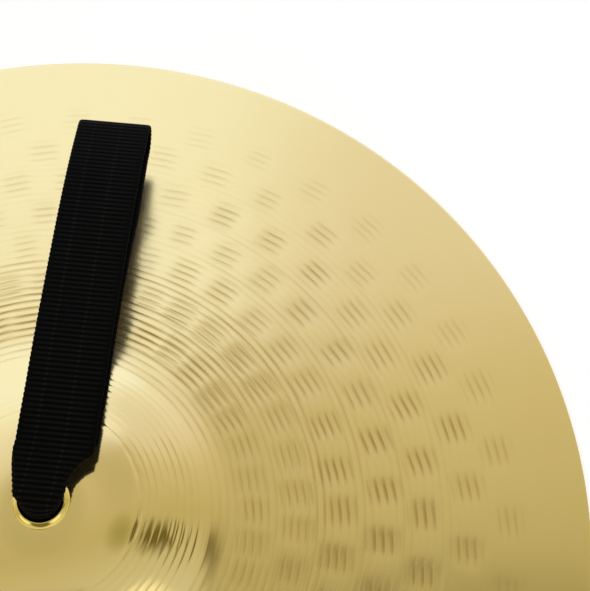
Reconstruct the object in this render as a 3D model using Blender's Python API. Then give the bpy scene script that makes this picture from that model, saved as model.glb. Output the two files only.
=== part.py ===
"""A pair of 18 inch clash cymbals, lying bell up and side by side, each with a webbing hand strap.

Metres, with +Z up. The origin is on the surface they lie on, midway between the two cymbals.
Each cymbal is a bronze plate with a brass grommet in its hole. The strap comes up through the
grommet, runs out over the plate, folds back on itself and returns. Under the bell it is tied in a
wrapped stopper knot, with its two cut ends left as tails.
"""

import math

import bmesh
import bpy
from mathutils import Matrix, Vector

MM = 0.001

# Clearances between pieces
SEAT_GAP = 0.3 * MM
STRAP_CLEARANCE = 0.4 * MM
LAYER_GAP = 0.6 * MM

# Bronze plate
PLATE_DIAMETER = 457.2 * MM
PLATE_THICKNESS = 1.3 * MM
RIM_LAND = 2.0 * MM
BELL_DIAMETER = 142.0 * MM
BELL_RISE = 16.7 * MM
BOW_RISE = 32.0 * MM
BOW_CURVE = 1.25
BELL_BLEND = 9.0 * MM
BELL_FLAT_MARGIN = 0.8 * MM

# Brass grommet
BORE_RADIUS = 8.6 * MM
BARREL_WALL = 0.6 * MM
FLANGE_RADIUS = 11.6 * MM
FLANGE_HEIGHT = 1.6 * MM
LIP_RADIUS = 10.9 * MM
LIP_HEIGHT = 1.2 * MM
WASHER_RADIUS = 11.5 * MM
WASHER_THICKNESS = 0.6 * MM

# Webbing of the hand strap
WEBBING_WIDTH = 32.0 * MM
WEBBING_THICKNESS = 1.8 * MM
GATHERED_WIDTH = 22.0 * MM
GATHERED_THICKNESS = 3.0 * MM
FAN_LENGTH = 14.0 * MM
STRAP_REACH = 170.5 * MM
STRAP_CREST = 10.0 * MM
STRAP_DROOP = 3.0 * MM
FOLD_RADIUS = 7.2 * MM
FOLD_HEIGHT = 20.0 * MM
LOOP_LENGTH = 92.0 * MM
KNUCKLE_RADIUS = 5.0 * MM
KNUCKLE_WIDTH = 16.4 * MM
THROAT_RADIUS = 4.6 * MM
SIDE_SHIFT = 4.2 * MM

# Stopper knot and tails
WRAP_RADIUS = 4.3 * MM
WRAP_TURNS = 2
TAIL_LENGTH = 52.0 * MM
TAIL_FLOOR_CLEARANCE = 6.0 * MM
NECK_END = 1.0 * MM

# How finely round shapes are divided
TURN_STEPS = 64
BELL_POINTS = 6
BLEND_POINTS = 3
BOW_POINTS = 7
ARCH_POINTS = 5
SMALL_TURN_STEPS = 32
STRAP_POINTS = 22
FOLD_POINTS = 9
WRAP_POINTS_PER_TURN = 20
TAIL_POINTS = 10

# Sizes that follow from the ones above
PLATE_RADIUS = PLATE_DIAMETER / 2
BELL_RADIUS = BELL_DIAMETER / 2
LAND_RADIUS = PLATE_RADIUS - RIM_LAND
RIM_SLOPE = BOW_RISE * BOW_CURVE / (LAND_RADIUS - BELL_RADIUS)
RIM_HEIGHT = PLATE_THICKNESS * math.hypot(1, RIM_SLOPE)
BELL_EDGE_HEIGHT = RIM_HEIGHT + BOW_RISE
BELL_TOP = BELL_EDGE_HEIGHT + BELL_RISE
BELL_FLAT_RADIUS = FLANGE_RADIUS + BELL_FLAT_MARGIN
BARREL_RADIUS = BORE_RADIUS + BARREL_WALL
HOLE_RADIUS = BARREL_RADIUS + SEAT_GAP
FLANGE_TOP = BELL_TOP + SEAT_GAP + FLANGE_HEIGHT
WASHER_TOP = BELL_TOP - PLATE_THICKNESS - SEAT_GAP
LIP_TOP = WASHER_TOP - WASHER_THICKNESS - SEAT_GAP
LIP_BOTTOM = LIP_TOP - LIP_HEIGHT
NECK_RADIUS = BORE_RADIUS - STRAP_CLEARANCE
LEG_START = KNUCKLE_RADIUS + SEAT_GAP
PIVOT_HEIGHT = FLANGE_TOP + SEAT_GAP + KNUCKLE_RADIUS
WRAP_PITCH = 2 * WRAP_RADIUS + LAYER_GAP
WRAP_PATH_RADIUS = NECK_RADIUS + SEAT_GAP + WRAP_RADIUS
WRAP_TOP = LIP_BOTTOM - SEAT_GAP - WRAP_RADIUS
WRAP_BOTTOM = WRAP_TOP - WRAP_TURNS * WRAP_PITCH
NECK_BOTTOM = WRAP_BOTTOM - WRAP_RADIUS - NECK_END

# The two cymbals: where each lies, and which way its strap points from straight back
CYMBAL_SPACING = PLATE_DIAMETER + SEAT_GAP
CYMBALS = (
    {"side": "right", "x": CYMBAL_SPACING / 2, "heading": -5.4, "lean": 1},
    {"side": "left", "x": -CYMBAL_SPACING / 2, "heading": 11.0, "lean": -1},
)

BRONZE = ("cymbal_bronze", (0.80, 0.66, 0.33), 0.28, 1.0)
BRASS = ("grommet_brass", (0.86, 0.70, 0.28), 0.16, 1.0)
WEBBING = ("black_webbing", (0.012, 0.012, 0.013), 0.85, 0.0)


def clear_scene():
    for item in list(bpy.data.objects):
        bpy.data.objects.remove(item)


def material(name, colour, roughness, metallic):
    """The material of that name, made the first time it is asked for."""
    found = bpy.data.materials.get(name)
    if found:
        return found
    made = bpy.data.materials.new(name)
    made.use_nodes = True
    made.diffuse_color = (*colour, 1)
    shader = made.node_tree.nodes["Principled BSDF"]
    shader.inputs["Base Color"].default_value = (*colour, 1)
    shader.inputs["Roughness"].default_value = roughness
    shader.inputs["Metallic"].default_value = metallic
    return made


def add_object(name, data, finish, parent):
    data.materials.append(material(*finish))
    made = bpy.data.objects.new(name, data)
    bpy.context.scene.collection.objects.link(made)
    made.parent = parent
    return made


def add_empty(name, parent, location=(0, 0, 0), turn=0.0):
    made = bpy.data.objects.new(name, None)
    made.empty_display_size = 0.02
    bpy.context.scene.collection.objects.link(made)
    made.parent = parent
    made.location = location
    made.rotation_euler.z = math.radians(turn)
    return made


def finish_mesh(name, shape):
    """Turns a bmesh into a closed, smooth-shaded mesh with its faces pointing out."""
    bmesh.ops.remove_doubles(shape, verts=shape.verts, dist=0.001 * MM)
    bmesh.ops.recalc_face_normals(shape, faces=shape.faces)
    mesh = bpy.data.meshes.new(name)
    shape.to_mesh(mesh)
    shape.free()
    mesh.shade_smooth()
    mesh.set_sharp_from_angle(angle=math.radians(35))
    return mesh


def turned(name, outline, finish, parent, steps=TURN_STEPS):
    """An outline of (radius, height) points, spun once round the parent's Z axis.

    It closes on itself, unless it starts on that axis: then it ends there too.
    """
    shape = bmesh.new()
    verts = [shape.verts.new((radius, 0, height)) for radius, height in outline]
    pairs = list(zip(verts, verts[1:]))
    if outline[0][0] > 0:
        pairs.append((verts[-1], verts[0]))
    edges = [shape.edges.new(pair) for pair in pairs]
    bmesh.ops.spin(
        shape, geom=verts + edges, cent=(0, 0, 0), axis=(0, 0, 1), angle=2 * math.pi, steps=steps
    )
    return add_object(name, finish_mesh(name, shape), finish, parent)


def band(name, sections, finish, parent):
    """A strip of webbing: rectangular sections, each four corners in order, joined in a row."""
    shape = bmesh.new()
    rings = [[shape.verts.new(corner) for corner in section] for section in sections]
    for ring, following in zip(rings, rings[1:]):
        for i in range(4):
            j = (i + 1) % 4
            shape.faces.new((ring[i], ring[j], following[j], following[i]))
    shape.faces.new(rings[0])
    shape.faces.new(rings[-1])
    return add_object(name, finish_mesh(name, shape), finish, parent)


def section(centre, across, through, width, thickness):
    """The four corners of a strip at one point of its path."""
    side = across * (width / 2)
    face = through * (thickness / 2)
    return [centre - side - face, centre + side - face, centre + side + face, centre - side + face]


def smooth_step(share):
    """Goes from 0 to 1 with no slope at either end, and stays level outside that range."""
    held = min(max(share, 0.0), 1.0)
    return held * held * (3 - 2 * held)


def mix(start, end, share):
    return start + (end - start) * share


def bezier(points, share):
    """A point of the cubic Bezier curve through four control points."""
    a, b, c, d = points
    rest = 1 - share
    return a * rest**3 + b * 3 * rest**2 * share + c * 3 * rest * share**2 + d * share**3


def bezier_way(points, share):
    """The direction in which that curve runs there."""
    a, b, c, d = points
    rest = 1 - share
    return ((b - a) * rest**2 + (c - b) * 2 * rest * share + (d - c) * share**2).normalized()


# Bronze plate


def bow_top(radius):
    """Height of the plate's upper face between the bell and the rim."""
    if radius > LAND_RADIUS:
        return RIM_HEIGHT - RIM_SLOPE * (radius - LAND_RADIUS)
    share = (radius - BELL_RADIUS) / (LAND_RADIUS - BELL_RADIUS)
    return RIM_HEIGHT + BOW_RISE * (1 - share**BOW_CURVE)


def bell_top(radius):
    """Height of the plate's upper face on the bell: flat round the hole, then a round arc."""
    reach = BELL_RADIUS - BELL_FLAT_RADIUS
    arc_radius = (reach**2 + BELL_RISE**2) / (2 * BELL_RISE)
    out = max(radius - BELL_FLAT_RADIUS, 0.0)
    return BELL_TOP - arc_radius + math.sqrt(arc_radius**2 - out**2)


def plate_upper_face():
    """(radius, height) points of the upper face, from the hole out to the rim."""
    start, end = BELL_RADIUS - BELL_BLEND, BELL_RADIUS + BELL_BLEND
    points = [(HOLE_RADIUS, BELL_TOP)]
    for i in range(BELL_POINTS + 1):
        radius = mix(BELL_FLAT_RADIUS, start, i / BELL_POINTS)
        points.append((radius, bell_top(radius)))
    for i in range(1, BLEND_POINTS + 1):
        share = i / (BLEND_POINTS + 1)
        ends = mix(bell_top(start), BELL_EDGE_HEIGHT, share), mix(BELL_EDGE_HEIGHT, bow_top(end), share)
        points.append((mix(start, end, share), mix(*ends, share)))
    for i in range(BOW_POINTS + 1):
        radius = mix(end, LAND_RADIUS, i / BOW_POINTS)
        points.append((radius, bow_top(radius)))
    points.append((PLATE_RADIUS, bow_top(PLATE_RADIUS)))
    return points


def slope_at(points, index):
    """How steeply a row of (radius, height) points falls outwards at one of them."""
    before = points[max(index - 1, 0)]
    after = points[min(index + 1, len(points) - 1)]
    return (before[1] - after[1]) / (after[0] - before[0])


def add_plate(side, parent):
    upper = plate_upper_face()
    lower = [(HOLE_RADIUS, BELL_TOP - PLATE_THICKNESS)]
    for index in range(1, len(upper) - 2):
        radius, height = upper[index]
        lower.append((radius, height - PLATE_THICKNESS * math.hypot(1, slope_at(upper, index))))
    rim = [(PLATE_RADIUS, 0.0), (LAND_RADIUS, 0.0)]
    turned(f"{side}_cymbal_plate", upper + rim + lower[::-1], BRONZE, parent)


# Brass grommet


def arch(inner, outer, base, height, first, last):
    """Half an ellipse standing on base between two radii, from one angle in degrees to another."""
    middle, half = (inner + outer) / 2, (outer - inner) / 2
    points = []
    for i in range(ARCH_POINTS + 1):
        angle = math.radians(mix(first, last, i / ARCH_POINTS))
        points.append((middle + half * math.cos(angle), base + height * math.sin(angle)))
    return points


def add_grommet(side, parent):
    flange = arch(BORE_RADIUS, FLANGE_RADIUS, BELL_TOP + SEAT_GAP, FLANGE_HEIGHT, 180, 0)
    lip = arch(BORE_RADIUS, LIP_RADIUS, LIP_TOP, -LIP_HEIGHT, 0, 180)
    barrel = [(BARREL_RADIUS, BELL_TOP + SEAT_GAP), (BARREL_RADIUS, LIP_TOP)]
    turned(f"{side}_grommet_eyelet", flange + barrel + lip, BRASS, parent, SMALL_TURN_STEPS)
    inner, outer = BARREL_RADIUS + SEAT_GAP, WASHER_RADIUS
    bottom = WASHER_TOP - WASHER_THICKNESS
    ring = [(inner, WASHER_TOP), (outer, WASHER_TOP), (outer, bottom), (inner, bottom)]
    turned(f"{side}_grommet_washer", ring, BRASS, parent, SMALL_TURN_STEPS)


# Strap above the plate


def fan_share(distance):
    """0 where the webbing leaves the knuckle, gathered, and 1 where it lies at its full width."""
    return min(max((distance - LEG_START) / FAN_LENGTH, 0.0), 1.0)


def add_strap_loop(side, lean, pivot):
    """One strip, out along the upper leg, round the fold and back along the lower leg.

    In the pivot's frame +Y is the way the strap points, and X is across it.
    """
    fold_drop = bow_top(STRAP_REACH) + FOLD_HEIGHT - PIVOT_HEIGHT
    controls = [
        Vector((0, LEG_START, 0)),
        Vector((0, STRAP_REACH * 0.35, STRAP_CREST)),
        Vector((0, STRAP_REACH * 0.73, -STRAP_DROOP)),
        Vector((0, STRAP_REACH, fold_drop)),
    ]
    across = Vector((1, 0, 0))
    upper, lower = [], []
    for i in range(STRAP_POINTS + 1):
        share = i / STRAP_POINTS
        middle = bezier(controls, share)
        through = across.cross(bezier_way(controls, share)).normalized()
        fan = fan_share(middle.y)
        width = mix(GATHERED_WIDTH, WEBBING_WIDTH, fan)
        thickness = mix(GATHERED_THICKNESS, WEBBING_THICKNESS, fan)
        opening = smooth_step(1 - (STRAP_REACH - middle.y) / LOOP_LENGTH)
        apart = mix(thickness + LAYER_GAP, 2 * FOLD_RADIUS, opening)
        centre = middle + across * (lean * SIDE_SHIFT * fan)
        for legs, way in ((upper, 1), (lower, -1)):
            legs.append(section(centre + through * (way * apart / 2), across, through, width, thickness))
    outwards = through.cross(across).normalized()
    fold = []
    for i in range(1, FOLD_POINTS):
        angle = math.pi * i / FOLD_POINTS
        spoke = through * math.cos(angle) + outwards * math.sin(angle)
        fold.append(section(centre + spoke * FOLD_RADIUS, across, spoke, width, thickness))
    # The lower leg's sections face the other way once the strip has gone round the fold.
    returning = [[ring[3], ring[2], ring[1], ring[0]] for ring in reversed(lower)]
    band(f"{side}_strap_loop", upper + fold + returning, WEBBING, pivot)


# Strap through the grommet and under the bell


def add_neck(side, swivel):
    """The gathered webbing in the grommet, with a round knuckle on top that the loop turns about."""
    name = f"{side}_strap_neck"
    outline = [
        (0.0, NECK_BOTTOM),
        (NECK_RADIUS, NECK_BOTTOM),
        (NECK_RADIUS, FLANGE_TOP),
        (THROAT_RADIUS, FLANGE_TOP),
        (THROAT_RADIUS, PIVOT_HEIGHT),
        (0.0, PIVOT_HEIGHT),
    ]
    neck = turned(name, outline, WEBBING, swivel, SMALL_TURN_STEPS)
    knuckle = bmesh.new()
    bmesh.ops.create_cone(
        knuckle, cap_ends=True, segments=SMALL_TURN_STEPS, radius1=KNUCKLE_RADIUS,
        radius2=KNUCKLE_RADIUS, depth=KNUCKLE_WIDTH, matrix=Matrix.Rotation(math.pi / 2, 4, "Y"),
    )
    bmesh.ops.translate(knuckle, verts=knuckle.verts, vec=(0, 0, PIVOT_HEIGHT))
    shape = add_object(f"{name}_knuckle", finish_mesh(f"{name}_knuckle", knuckle), WEBBING, swivel)
    shape.hide_render = True
    shape.display_type = "WIRE"
    join = neck.modifiers.new("knuckle", "BOOLEAN")
    join.operation = "UNION"
    join.object = shape


def wrap_point(turns_done, start_angle):
    """A point of the knot's path after that many turns, going down round the neck."""
    angle = start_angle + 2 * math.pi * turns_done
    height = WRAP_TOP - WRAP_PITCH * turns_done
    return Vector((WRAP_PATH_RADIUS * math.cos(angle), WRAP_PATH_RADIUS * math.sin(angle), height))


def add_knot(side, swivel, start_angle):
    """The strap's end, gathered and wrapped round the neck as a stopper under the grommet."""
    count = WRAP_TURNS * WRAP_POINTS_PER_TURN
    path = [wrap_point(i / WRAP_POINTS_PER_TURN, start_angle) for i in range(count + 1)]
    curve = bpy.data.curves.new(f"{side}_strap_knot", "CURVE")
    curve.dimensions = "3D"
    curve.bevel_depth = WRAP_RADIUS
    curve.bevel_resolution = 2
    curve.use_fill_caps = True
    spline = curve.splines.new("POLY")
    spline.points.add(count)
    for point, place in zip(spline.points, path):
        point.co = (*place, 1)
    add_object(f"{side}_strap_knot", curve, WEBBING, swivel)
    apart = min(
        (a - b).length
        for i, a in enumerate(path)
        for b in path[i + WRAP_POINTS_PER_TURN // 2 :]
    )
    print(f"{side} knot: least gap between its turns {(apart - 2 * WRAP_RADIUS) / MM:.2f} mm")


def tail_sections(controls, across):
    """Sections of a tail, from the gathered webbing at the knot to the flat cut end."""
    sections = []
    for i in range(TAIL_POINTS + 1):
        share = i / TAIL_POINTS
        through = across.cross(bezier_way(controls, share)).normalized()
        flat = smooth_step(2 * share)
        width = mix(1.7 * WRAP_RADIUS, WEBBING_WIDTH, flat)
        thickness = mix(1.7 * WRAP_RADIUS, WEBBING_THICKNESS, flat)
        sections.append(section(bezier(controls, share), across, through, width, thickness))
    return sections


def add_tails(side, swivel, start_angle):
    """The two cut ends: one leaves the last wrap, the other the foot of the neck."""
    end = wrap_point(WRAP_TURNS, start_angle)
    before = wrap_point(WRAP_TURNS - 1 / WRAP_POINTS_PER_TURN, start_angle)
    leaving = (end - before).normalized()
    away = Vector((leaving.x, leaving.y, 0)).normalized()
    across = Vector((-away.y, away.x, 0))
    low = TAIL_FLOOR_CLEARANCE + WEBBING_THICKNESS
    start = end + leaving * SEAT_GAP
    fall = Vector((0, 0, low - start.z))
    wrap_controls = [
        start,
        start + leaving * (TAIL_LENGTH * 0.35),
        start + away * (TAIL_LENGTH * 0.7) + fall * 0.6,
        start + away * TAIL_LENGTH + fall,
    ]
    band(f"{side}_strap_tail_outer", tail_sections(wrap_controls, across), WEBBING, swivel)
    foot = Vector((0, 0, NECK_BOTTOM - SEAT_GAP))
    drop = Vector((0, 0, low - foot.z))
    foot_controls = [foot, foot + drop * 0.7, foot + drop - away * 6 * MM, foot + drop - away * TAIL_LENGTH]
    band(f"{side}_strap_tail_inner", tail_sections(foot_controls, across), WEBBING, swivel)


def add_cymbal(side, x, heading, lean):
    frame = add_empty(f"{side}_cymbal_frame", None, location=(x, 0, 0))
    swivel = add_empty(f"{side}_strap_swivel", frame, turn=heading)
    pivot = add_empty(f"{side}_strap_pivot", swivel, location=(0, 0, PIVOT_HEIGHT))
    add_plate(side, frame)
    add_grommet(side, frame)
    add_neck(side, swivel)
    add_strap_loop(side, lean, pivot)
    knot_angle = math.radians(160)
    add_knot(side, swivel, knot_angle)
    add_tails(side, swivel, knot_angle)


def main():
    clear_scene()
    for cymbal in CYMBALS:
        add_cymbal(**cymbal)


main()
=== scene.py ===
import math

import bpy
import numpy as np
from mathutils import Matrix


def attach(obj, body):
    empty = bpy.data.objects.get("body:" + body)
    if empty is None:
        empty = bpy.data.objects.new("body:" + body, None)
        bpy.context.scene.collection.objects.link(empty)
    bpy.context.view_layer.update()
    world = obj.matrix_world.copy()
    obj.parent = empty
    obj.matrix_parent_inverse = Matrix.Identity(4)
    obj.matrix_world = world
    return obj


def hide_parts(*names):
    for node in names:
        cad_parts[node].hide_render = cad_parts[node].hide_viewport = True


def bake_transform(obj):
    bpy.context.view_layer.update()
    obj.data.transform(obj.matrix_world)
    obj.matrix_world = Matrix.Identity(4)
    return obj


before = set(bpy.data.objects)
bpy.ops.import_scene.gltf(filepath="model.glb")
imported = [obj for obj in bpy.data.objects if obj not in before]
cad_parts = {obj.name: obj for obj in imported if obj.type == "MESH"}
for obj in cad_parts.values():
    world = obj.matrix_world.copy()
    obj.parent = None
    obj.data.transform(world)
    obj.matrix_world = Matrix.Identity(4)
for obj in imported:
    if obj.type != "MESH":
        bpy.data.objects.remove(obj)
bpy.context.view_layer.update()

MM = 0.001

# Sizes shared with the solids
PLATE_THICKNESS = 1.3 * MM
PLATE_RADIUS = 228.6 * MM
LAND_RADIUS = 226.6 * MM
BELL_RADIUS = 71.0 * MM
BELL_RISE = 16.7 * MM
BOW_RISE = 32.0 * MM
BOW_CURVE = 1.25
HOLE_RADIUS = 9.5 * MM
BELL_FLAT_RADIUS = 12.4 * MM
BORE_RADIUS = 8.6 * MM
BARREL_RADIUS = 9.2 * MM
FLANGE_RADIUS = 11.6 * MM
FLANGE_HEIGHT = 1.6 * MM
LIP_RADIUS = 10.9 * MM
LIP_HEIGHT = 1.2 * MM
WASHER_RADIUS = 11.5 * MM
WASHER_THICKNESS = 0.6 * MM
SEAT_GAP = 0.3 * MM
WEBBING_WIDTH = 32.0 * MM
WEBBING_THICKNESS = 1.8 * MM
GATHERED_THICKNESS = 3.0 * MM
FAN_LENGTH = 14.0 * MM
LEG_START = 5.3 * MM
STRAP_REACH = 170.5 * MM
STRAP_CREST = 10.0 * MM
STRAP_DROOP = 3.0 * MM
FOLD_RADIUS = 7.2 * MM
FOLD_HEIGHT = 20.0 * MM
LOOP_LENGTH = 92.0 * MM
LAYER_GAP = 0.6 * MM
WRAP_RADIUS = 4.3 * MM
WRAP_TURNS = 2
WRAP_START = 160.0
TAIL_LENGTH = 52.0 * MM
TAIL_FLOOR_CLEARANCE = 6.0 * MM

RIM_SLOPE = BOW_RISE * BOW_CURVE / (LAND_RADIUS - BELL_RADIUS)
RIM_HEIGHT = PLATE_THICKNESS * math.hypot(1, RIM_SLOPE)
BELL_TOP = RIM_HEIGHT + BOW_RISE + BELL_RISE
FLANGE_TOP = BELL_TOP + SEAT_GAP + FLANGE_HEIGHT
WASHER_TOP = BELL_TOP - PLATE_THICKNESS - SEAT_GAP
LIP_TOP = WASHER_TOP - WASHER_THICKNESS - SEAT_GAP
LIP_BOTTOM = LIP_TOP - LIP_HEIGHT
NECK_RADIUS = BORE_RADIUS - 0.4 * MM
PIVOT_HEIGHT = FLANGE_TOP + SEAT_GAP + 5.0 * MM
WRAP_PITCH = 2 * WRAP_RADIUS + LAYER_GAP
WRAP_PATH_RADIUS = NECK_RADIUS + SEAT_GAP + WRAP_RADIUS
WRAP_TOP = LIP_BOTTOM - SEAT_GAP - WRAP_RADIUS
WRAP_BOTTOM = WRAP_TOP - WRAP_TURNS * WRAP_PITCH
NECK_BOTTOM = WRAP_BOTTOM - WRAP_RADIUS - 1.0 * MM
CYMBALS = (
    {"side": "right", "x": 228.75 * MM, "heading": -5.4, "lean": 1, "seed": 11},
    {"side": "left", "x": -228.75 * MM, "heading": 11.0, "lean": -1, "seed": 29},
)

# Bronze surface. Grooves are counted in turns from the radius of the first. Each one deepens slowly over
# 0.78 of a turn and then climbs steeply, and that steep face reads as a dark line. The depths are real
# relief. The paints say how much painted shade darkens the lines, in place of the dark reflection of their
# steep faces, and MARK_SHADE paints shade over a whole hammer mark.
SEGMENTS = 384
RIDGE_START = 65.05 * MM
RIDGE_PITCH = 3.32 * MM
RIDGE_COUNT = 35
RIDGE_DEPTH = 0.06 * MM
RIDGE_PAINT = 0.5
BELL_LINE_START = 37.9 * MM
BELL_LINE_PITCH = 2.8 * MM
BELL_LINE_COUNT = 9
BELL_LINE_DEPTH = 0.09 * MM
BELL_LINE_PAINT = 0.05
MARK_DEPTH = 0.09 * MM
MARK_PAINT = 0.64
MARK_SHADE = 0.13
DENT_DEPTH = 0.17 * MM
FINE_DEPTH = 0.03 * MM
UNDERSIDE_RIDGES = 0.5
# Where in each groove the mesh has a ring of points, in turns
TURN_SAMPLES = np.array([0.0, 0.42, 0.76, 0.9])
# A groove's depth and the darkness of its painted line of shade, by the turn
GROOVE_STOPS = (
    (0.0, 0.0), (0.2, 0.16), (0.39, 0.5), (0.58, 0.84), (0.78, 1.0), (0.86, 0.7), (0.93, 0.25), (1.0, 0.0),
)
LINE_STOPS = ((0.0, 0.0), (0.44, 0.0), (0.68, 0.7), (0.86, 1.0), (0.97, 0.15), (1.0, 0.0))
# The bell's foot runs smoothly into the bow between these radii.
FOOT_START = 64.0 * MM
FOOT_END = 78.0 * MM
# Bands in mm of radius: where each one starts, is full, begins to fade and is gone
INNER_RIDGES = (65, 69, 98, 122)
FAINT_RIDGES = (100, 110, 150, 190)
MIDDLE_MARKS = (96, 116, 140, 156)
INNER_RIDGE_LEVEL = 0.8
FAINT_RIDGE_LEVEL = 0.08
# Unbroken ridges between the rings of hammer marks: radius in mm and strength
RIDGES_BETWEEN = ((93.5, 0.3), (111.7, 0.6), (129.9, 0.45), (147.6, 0.25), (165.5, 0.1))
RIDGE_SPREAD = 3.4
# How each groove varies along its length: the range of its level, and waves of (count, size)
GROOVE_LEVELS = (0.6, 1.15)
GROOVE_WAVES = ((4, 0.14), (11, 0.2), (29, 0.18))
GROOVES_DRAWN = 62
# Rings of hammer marks: radius in mm, angle of the first mark in degrees, and strength
HAMMER_RINGS = (
    (192.0, 0.44, 0.38),
    (174.5, 4.9, 0.68),
    (156.4, 0.44, 0.9),
    (138.9, 4.9, 1.0),
    (120.8, 0.44, 1.0),
    (102.6, 4.9, 0.9),
    (84.5, 0.44, 0.8),
)
HAMMERS_PER_RING = 40
# Ranges that each hammer mark is drawn from: half its width and its reach along the radius in mm, its share
# of the ring's strength, how far its strokes are slid, their pitch as a share of RIDGE_PITCH, and the
# spread of their tilt
MARK_HALF_WIDTHS = (5.0, 6.5)
MARK_REACHES = (6.0, 7.6)
MARK_LEVELS = (0.7, 1.05)
MARK_SLIDES = (0.55, 1.05)
MARK_PITCHES = (0.9, 1.0)
MARK_TILT = 0.05
# How far a mark strays from its place, in degrees round the plate and in mm along the radius
MARK_STRAY_ROUND = 0.35
MARK_STRAY_OUT = 0.5
# The most that half a mark takes of the distance to the next one
MARK_WIDEST = 0.41
# Between these radii in mm the marks become shorter, by a length in mm, and their strokes come wider apart,
# by a share of RIDGE_PITCH
MARK_CHANGE = (100, 145)
MARK_SHORTENING = 0.5
MARK_PITCH_GAIN = 0.17
# Strokes are counted from here, so that no count falls below zero
FIRST_STROKE = 20
# How strongly the outer hammer marks show, by the angle round the plate in degrees, over half a turn. This
# sets their relief and their painted shade, which follows how the light falls round the plate.
MARK_SHOWS = (
    (0, 1.6), (12, 1.6), (22, 1.15), (30, 0.82), (42, 0.85), (54, 1.1), (64, 1.1), (75, 1.0), (150, 1.0),
    (170, 1.6), (180, 1.6),
)
# Angles round the plate in degrees, each with its opposite, where the bell's lines show most and where the
# strap points, and the shares of depth that the ridges and marks lose there. They lose painted shade with it,
# which follows how the light falls round the plate.
BELL_LINES_AT = 4
RIDGES_LOST_AT_BELL_LINES = 0.72
STRAP_AT = 95
RIDGES_LOST_AT_STRAP = 0.65
MARKS_LOST_AT_STRAP = 0.45

# Bronze colour: two tints that a cloudy noise mixes, the painted shade of a full groove, and the gloss of
# bell and bow. Stops along the radius are shares of RAMP_REACH.
BRONZE_TINTS = [(0.3, (0.93, 0.755, 0.335)), (0.7, (0.945, 0.78, 0.365))]
GROOVE_SHADE_COLOUR = (0.53, 0.365, 0.12, 1)
BRONZE_METALLIC = 0.97
RAMP_REACH = 250 * MM
ROUGHNESS_STOPS = ((0.0, 0.06), (0.26, 0.06), (0.30, 0.19), (1.0, 0.19))
FINE_STOPS = ((0.14, 0.04), (0.18, 0.5), (0.27, 1.0), (0.5, 0.6), (0.8, 0.25))
# Noise scales, and how much the lines and the scuffs add to the roughness
CLOUD_SCALE = 9.0
SCUFF_SCALE = 60.0
FINE_SCALE = 750.0
LINE_ROUGHNESS = 0.1
SCUFF_ROUGHNESS = 0.07
BRASS_TINTS = [(0.35, (0.87, 0.69, 0.20)), (0.7, (0.93, 0.76, 0.27))]

# Webbing surface. Two pale warp yarns run along it, which the column stops place across its width.
RIB_PITCH = 2.2 * MM
RIB_HEIGHT = 0.36 * MM
YARN_PITCH = 0.92 * MM
# The webbing's edges: a selvage that is flatter than the ribs, a rounded edge and its scallops
SELVAGE_WIDTH = 1.5 * MM
SELVAGE_BLEND = 0.7 * MM
SELVAGE_LEVEL = 0.45
EDGE_ROUNDING = 0.9 * MM
SCALLOP = 0.3 * MM
SCALLOP_WIDTH = 0.5 * MM
COLUMN_STOPS = (
    (0.0, 0.7), (0.22, 0.75), (0.245, 2.1), (0.27, 0.75), (0.595, 0.85), (0.62, 2.1), (0.645, 0.85),
    (1.0, 0.7),
)
FUZZ_SCALE = 1400.0
PATCH_SCALE = 45.0
# The webbing's colour, from painted shade between the ribs to painted highlight on their crests
WEBBING_TONES = [(0.0, (0.0003, 0.0003, 0.0002)), (1.0, (0.014, 0.014, 0.012))]

# How the upper leg narrows towards the grommet. Each row is the distance out from the pivot, the shift of
# the middle to the strap's leaning side, and the flat half widths on the other and on the leaning side.
# What is wider than that is turned under at TUCK_RADIUS.
TUCK_RADIUS = 1.7 * MM
GATHER = np.array([
    (-12.0, 0.0, 5.5, 5.5),
    (-5.7, 0.1, 5.5, 5.7),
    (-3.9, 0.4, 6.6, 6.1),
    (-2.2, 0.8, 8.3, 6.2),
    (-0.6, 1.1, 8.9, 6.1),
    (3.3, 1.9, 10.2, 6.0),
    (7.0, 2.3, 11.4, 5.9),
    (10.3, 2.6, 12.3, 6.8),
    (12.6, 2.8, 12.9, 8.7),
    (14.9, 3.0, 13.3, 10.0),
    (17.0, 3.3, 14.0, 12.4),
    (19.0, 3.6, 15.0, 14.8),
    (22.0, 3.9, 15.8, 16.0),
    (45.0, 4.4, 16.0, 16.0),
]) * MM
# The leg below, by the distance out in mm: the share of its width that is left, and its shift in mm to the
# leaning side. It shows beyond the leg above, but not at the fold.
LOWER_WIDTH = np.array([(-12.0, 0.42), (7.0, 0.42), (12.0, 0.50), (17.0, 0.76), (23.0, 1.0)])
LOWER_SHIFT = np.array([
    (-12.0, 0.0), (5.0, 0.0), (15.0, -0.3), (22.0, 0.8), (32.0, 0.9), (42.0, 1.1), (130.0, 1.1),
    (165.0, -0.5),
]) * MM
# Radii that the webbing is rolled to: in the bore, for the legs above and below, and in the tails
UPPER_CURL = 7.3 * MM
LOWER_CURL = 4.6 * MM
TAIL_CURL = 3.3 * MM
# The rope of pleated webbing that the knot is tied from
PLEATS = 7
PLEAT_DEPTH = 0.75 * MM

# Studio. The sky's colour runs along an axis from the viewer's side to the back.
FLOOR_SIZE = 160.0
FLOOR_DROP = 0.3 * MM
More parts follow.
